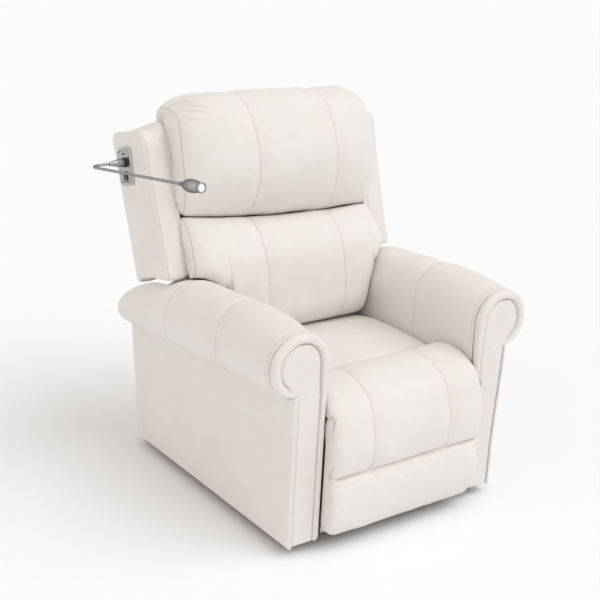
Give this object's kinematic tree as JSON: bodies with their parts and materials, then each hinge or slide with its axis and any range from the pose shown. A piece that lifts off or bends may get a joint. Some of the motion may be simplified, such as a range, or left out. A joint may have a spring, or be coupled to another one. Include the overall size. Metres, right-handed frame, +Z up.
{
  "type": "recliner chair",
  "caption": "Power recliner armchair in cream leather with scroll arms, side wings, padded back, rising footrest and a reading lamp on a flexible neck.",
  "frame": {"origin": "on the floor, at the middle of the underside of the floor frame's middle cross tube, in the chair's plane of symmetry without its lamp", "axes": "+Z up; -Y forward, the way the sitter faces; -X to the sitter's right, where the lamp is"},
  "size_m": [0.9648, 0.9611, 1.1083],
  "materials": {
    "cream_leather": "satin",
    "dark_steel": "satin",
    "zinc_steel": "satin",
    "plywood": "matte",
    "black_plastic": "matte",
    "rail_aluminium": "satin",
    "cap_rubber": "matte",
    "brushed_nickel": "satin",
    "lamp_lens": "gloss"
  },
  "bodies": {
    "base": {"floor_skids": "dark_steel", "floor_cross_tube": "dark_steel", "skid_end_caps": "cap_rubber", "frame_legs": "dark_steel", "side_plates": "dark_steel", "frame_fasteners": "zinc_steel", "drive_tube_bushes": "black_plastic", "seat_frame": "plywood", "seat_springs": "dark_steel", "seat_cushion": "cream_leather", "seat_front_roll": "cream_leather", "left_arm_frame": "plywood", "right_arm_frame": "plywood", "left_side_panel": "cream_leather", "right_side_panel": "cream_leather", "inner_arm_panels": "cream_leather", "left_arm_roll": "cream_leather", "right_arm_roll": "cream_leather", "left_arm_band": "cream_leather", "right_arm_band": "cream_leather", "left_front_panel": "cream_leather", "right_front_panel": "cream_leather", "rear_skirt": "cream_leather", "footrest_motor": "black_plastic", "recline_motor": "black_plastic", "motor_rails": "rail_aluminium", "power_supply": "black_plastic", "power_inlet": "black_plastic", "control_plate": "black_plastic"},
    "drive_arm": {"drive_tube": "dark_steel", "drive_links": "dark_steel", "drive_link_rivets": "zinc_steel"},
    "guide_arm": {"guide_links": "dark_steel", "guide_link_rivets": "zinc_steel"},
    "thrust_arm": {"thrust_links": "dark_steel"},
    "levelling_arm": {"levelling_links": "dark_steel"},
    "footrest": {"footrest_brackets": "dark_steel", "footrest_board": "plywood", "footrest_pad": "cream_leather", "footrest_rivets": "zinc_steel"},
    "footrest_block": {"footrest_drive_block": "zinc_steel"},
    "recline_block": {"recline_drive_block": "zinc_steel"},
    "back": {"back_frame": "plywood", "back_springs": "dark_steel", "back_brackets": "dark_steel", "recline_crank": "dark_steel", "back_cover": "cream_leather", "lumbar_cushion": "cream_leather", "head_cushion": "cream_leather", "left_wing": "cream_leather", "right_wing": "cream_leather", "lamp_plate": "brushed_nickel", "lamp_socket": "black_plastic"},
    "lamp": {"lamp_collar": "brushed_nickel", "lamp_neck": "brushed_nickel", "lamp_head": "brushed_nickel", "lamp_lens": "lamp_lens"},
    "lamp_button": {"lamp_rocker": "black_plastic"},
    "back_button": {"back_switch": "black_plastic"},
    "footrest_button": {"footrest_switch": "black_plastic"}
  },
  "joints": [
    {"name": "footrest_lift", "type": "hinge", "parent": "base", "child": "drive_arm", "pos_m": [0, -0.205, 0.285], "axis": [-1, 0, 0], "range_deg": [0, 92]},
    {"name": "guide_swing", "type": "hinge", "parent": "base", "child": "guide_arm", "pos_m": [0, -0.24275, 0.30949], "axis": [-1, 0, 0], "range_deg": [0, 92]},
    {"name": "thrust_swing", "type": "hinge", "parent": "drive_arm", "child": "thrust_arm", "pos_m": [0, -0.1425, 0.0813], "axis": [-1, 0, 0], "range_deg": [-92, 0]},
    {"name": "levelling_swing", "type": "hinge", "parent": "drive_arm", "child": "levelling_arm", "pos_m": [0, -0.15247, 0.1138], "axis": [-1, 0, 0], "range_deg": [-92, 0]},
    {"name": "footrest_turn", "type": "hinge", "parent": "thrust_arm", "child": "footrest", "pos_m": [0, -0.364, 0.225], "axis": [-1, 0, 0], "range_deg": [0, 92]},
    {"name": "footrest_block_slide", "type": "slide", "parent": "base", "child": "footrest_block", "axis": [0, -1, 0], "range_m": [0, 0.07918]},
    {"name": "back_recline", "type": "hinge", "parent": "base", "child": "back", "pos_m": [0, 0.2, 0.33], "axis": [-1, 0, 0], "range_deg": [0, 35]},
    {"name": "recline_block_slide", "type": "slide", "parent": "base", "child": "recline_block", "axis": [0, -1, 0], "range_m": [0, 0.05418]},
    {"name": "lamp_swivel", "type": "hinge", "parent": "back", "child": "lamp", "pos_m": [-0.413, 0.39129, 0.89533], "axis": [-1, 0, 0], "range_deg": [-60, 90]},
    {"name": "lamp_switch", "type": "hinge", "parent": "back", "child": "lamp_button", "pos_m": [-0.4105, 0.38885, 0.85657], "axis": [0, -0.9636, 0.2672], "range_deg": [-6, 6], "stiffness_Nm_per_rad": 0.5},
    {"name": "back_rocker", "type": "hinge", "parent": "base", "child": "back_button", "pos_m": [-0.256, -0.19, 0.474], "axis": [0, 1, 0], "range_deg": [-6, 6], "stiffness_Nm_per_rad": 0.5},
    {"name": "footrest_rocker", "type": "hinge", "parent": "base", "child": "footrest_button", "pos_m": [-0.256, -0.23, 0.474], "axis": [0, 1, 0], "range_deg": [-6, 6], "stiffness_Nm_per_rad": 0.5}
  ],
  "couplings": [
    {"joint": "guide_swing", "follows": "footrest_lift", "ratio": 1},
    {"joint": "thrust_swing", "follows": "footrest_lift", "ratio": -1},
    {"joint": "levelling_swing", "follows": "footrest_lift", "ratio": -1},
    {"joint": "footrest_turn", "follows": "footrest_lift", "ratio": 1},
    {"joint": "footrest_block_slide", "follows": "footrest_lift", "m_per_rad": 0.049279},
    {"joint": "recline_block_slide", "follows": "back_recline", "m_per_rad": 0.088607}
  ]
}
